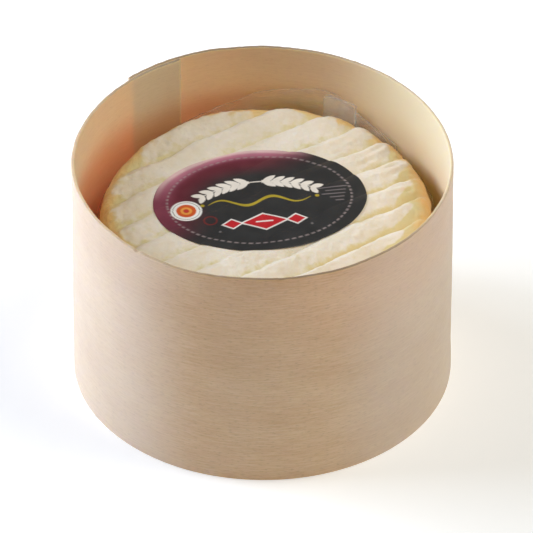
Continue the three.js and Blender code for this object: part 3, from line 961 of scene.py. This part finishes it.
def film():
    """The band of film is an upright strip carried along its path: the tab, a half circle at the fold, and one
    long turn round the cheese. Rows are places along the path, and columns go up one face and down the other."""
    tab = np.linspace(FILM_TAB_ANGLE, FILM_FOLD_ANGLE, 30)[:-1]
    bend = FILM_FOLD_ANGLE + np.linspace(math.pi, 0, 18)[:-1]
    bend_centre = beside_cheese(FILM_FOLD_ANGLE, FILM_TAB_GAP + FILM_FOLD_RADIUS)
    bend_points = bend_centre + FILM_FOLD_RADIUS * np.stack([np.cos(bend), np.sin(bend)], -1)
    turn = np.linspace(FILM_FOLD_ANGLE, FILM_END_ANGLE, 620)
    closing = ease((FILM_FOLD_ANGLE - turn) / FILM_CLOSING_ANGLE)
    leaving = ease((FILM_LEAVING_START - turn) / FILM_LEAVING_ANGLE)
    start = FILM_TAB_GAP + 2 * FILM_FOLD_RADIUS
    gap = start + (FILM_SIDE_GAP - start) * closing + (FILM_END_GAP - FILM_SIDE_GAP) * leaving
    tab_points, turn_points = beside_cheese(tab, FILM_TAB_GAP), beside_cheese(turn, gap)
    path = np.concatenate([tab_points, bend_points, turn_points])
    top = np.concatenate([np.full(len(tab) + len(bend), film_top(FILM_FOLD_ANGLE)), film_top(turn)])
    run = np.cumsum(np.linalg.norm(np.diff(path, axis=0, prepend=path[:1]), axis=1))
    from_fold = np.abs(run - run[len(tab) + len(bend) // 2])
    corner_radius = 3.2
    off_square = np.clip(1 - from_fold / corner_radius, 0, 1)
    top = top - corner_radius * (1 - np.sqrt(1 - off_square**2))
    forward = np.gradient(path, axis=0)
    forward /= np.linalg.norm(forward, axis=1)[:, None]
    side = np.stack([-forward[:, 1], forward[:, 0]], -1)

    up = 1 - (1 - np.linspace(0, 1, 22)) ** 1.6
    face = np.concatenate([np.full(len(up), -1.0), np.full(len(up), 1.0)])
    share = np.concatenate([up, up[::-1]])
    steps = run[:, None]
    edge_wave = 0.25 * ripple(steps, 0.0, 0.0, 9.0, 81)
    z = FILM_FOOT + (top[:, None] + edge_wave - FILM_FOOT) * share
    crinkle = 0.16 * ripple(steps, z * 0.4, 0.0, 6.0, 82) * ease((z - 50) / 12)
    shift = FILM_THICKNESS / 2 * face + crinkle
    x = path[:, :1] + side[:, :1] * shift
    y = path[:, 1:] + side[:, 1:] * shift
    columns = len(share)
    points = np.stack([x, y, z], -1).reshape(-1, 3)
    below_top = top[:, None] + edge_wave - z
    from_ends = np.minimum(steps, steps[-1] - steps)
    cut_edge = np.maximum(0.1 * ease((0.6 - below_top) / 0.5), 0.16 * ease((0.6 - from_ends) / 0.5))
    folded_length = run[len(tab) + len(bend) - 1]
    fold_veil = 0.05 * ease((folded_length - steps) / 1.5)
    faces = [grid_quads(len(path), columns)]
    start_cap = np.arange(columns)[::-1][None, :]
    end_cap = (np.arange(columns) + (len(path) - 1) * columns)[None, :]
    amounts = {"edge": (cut_edge + fold_veil).ravel()}
    piece = make_piece("wrap_film", points, [*faces, start_cap, end_cap], clear_wrap(), amounts=amounts)
    dress(piece, "film")


# Studio

FLOOR_GLOW = 0.25


def pale_floor():
    """A smooth pale floor of white acrylic, lit a little from below, with a faint unevenness."""
    material, tree = new_material("pale_studio_floor")
    place = add(tree, "ShaderNodeTexCoord")
    cloud = add(tree, "ShaderNodeTexNoise", {"Vector": (place, "Object"), "Scale": 3.0})
    tone = add(
        tree,
        "ShaderNodeMix",
        {0: (cloud, "Fac"), 6: linear("#f6f6f5"), 7: linear("#f9f9f8")},
        data_type="RGBA",
    )
    shader = add(
        tree,
        "ShaderNodeBsdfPrincipled",
        {
            "Base Color": (tone, 2),
            "Roughness": 0.9,
            "Emission Color": linear("#ffffff"),
            "Emission Strength": FLOOR_GLOW,
        },
    )
    add(tree, "ShaderNodeOutputMaterial", {"Surface": (shader, "BSDF")})
    return material


def studio_floor():
    """A square of floor 8 m wide."""
    half = 4.0 / MM
    corners = np.array([[-half, -half, 0], [half, -half, 0], [half, half, 0], [-half, half, 0]])
    floor = make_piece("floor", corners, [np.array([[0, 1, 2, 3]])], pale_floor())


def soft_light(name, azimuth, elevation, distance, size, watts, colour):
    """A square soft box aimed at the cheese. Azimuth is the compass angle it stands at, from +X towards +Y."""
    data = bpy.data.lights.new(name, "AREA")
    data.shape = "SQUARE"
    data.size = size
    data.energy = watts
    data.color = linear(colour)[:3]
    lamp = bpy.data.objects.new(name, data)
    bpy.context.scene.collection.objects.link(lamp)
    a, e = azimuth * DEGREE, elevation * DEGREE
    away = Vector((math.cos(a) * math.cos(e), math.sin(a) * math.cos(e), math.sin(e)))
    lamp.location = Vector((0, 0, 0.05)) + away * distance
    lamp.rotation_euler = (-away).to_track_quat("-Z", "Y").to_euler()


def studio_lights():
    """Cool key lights low and higher up at the left, and warm ones at the front right and above."""
    soft_light("key_left_low", 153, 12, 1.3, 0.6, 12.6, "#e7f0ff")
    soft_light("key_left_high", 173, 35, 1.3, 0.6, 11.4, "#e7f0ff")
    soft_light("fill_right", -20, 35, 1.3, 0.6, 2.6, "#fffcf2")
    soft_light("top_right", 0, 62, 1.3, 0.6, 8.0, "#fffcf2")
    world = bpy.data.worlds.new("studio_world")
    world.use_nodes = True
    backdrop = world.node_tree.nodes["Background"]
    backdrop.inputs["Color"].default_value = linear("#ffffff")
    backdrop.inputs["Strength"].default_value = 0.03
    bpy.context.scene.world = world


def photo_camera():
    """The photograph's long lens: 38.4 degrees above the level, 3 m away, with the box's middle a little left
    of and above the middle of the picture."""
    elevation = 38.41 * DEGREE
    distance = 24 * BOX_DIAMETER
    frame_pixels = 533
    focal_pixels = 379.7 * 24
    middle_left_pixels, middle_above_pixels = 4.0, 5.5
    pixel = distance / focal_pixels
    back = Vector((0, -math.cos(elevation), math.sin(elevation)))
    right = Vector((1, 0, 0))
    upwards = right.cross(-back)
    aim = Vector((0, 0, BOX_HEIGHT / 2))
    aim = aim + (right * middle_left_pixels - upwards * middle_above_pixels) * pixel
    data = bpy.data.cameras.new("camera")
    data.sensor_width = 36.0
    data.lens = focal_pixels / frame_pixels * data.sensor_width
    data.clip_start, data.clip_end = 0.1, 20.0
    camera = bpy.data.objects.new("camera", data)
    bpy.context.scene.collection.objects.link(camera)
    camera.location = (aim + back * distance) * MM
    camera.rotation_euler = (-back).to_track_quat("-Z", "Y").to_euler()
    bpy.context.scene.camera = camera


photo_camera()
box_wall()
box_base()
cheese()
label()
film()
studio_floor()
studio_lights()
bpy.context.scene.view_settings.view_transform = "Standard"
bpy.context.scene.cycles.transparent_max_bounces = 32
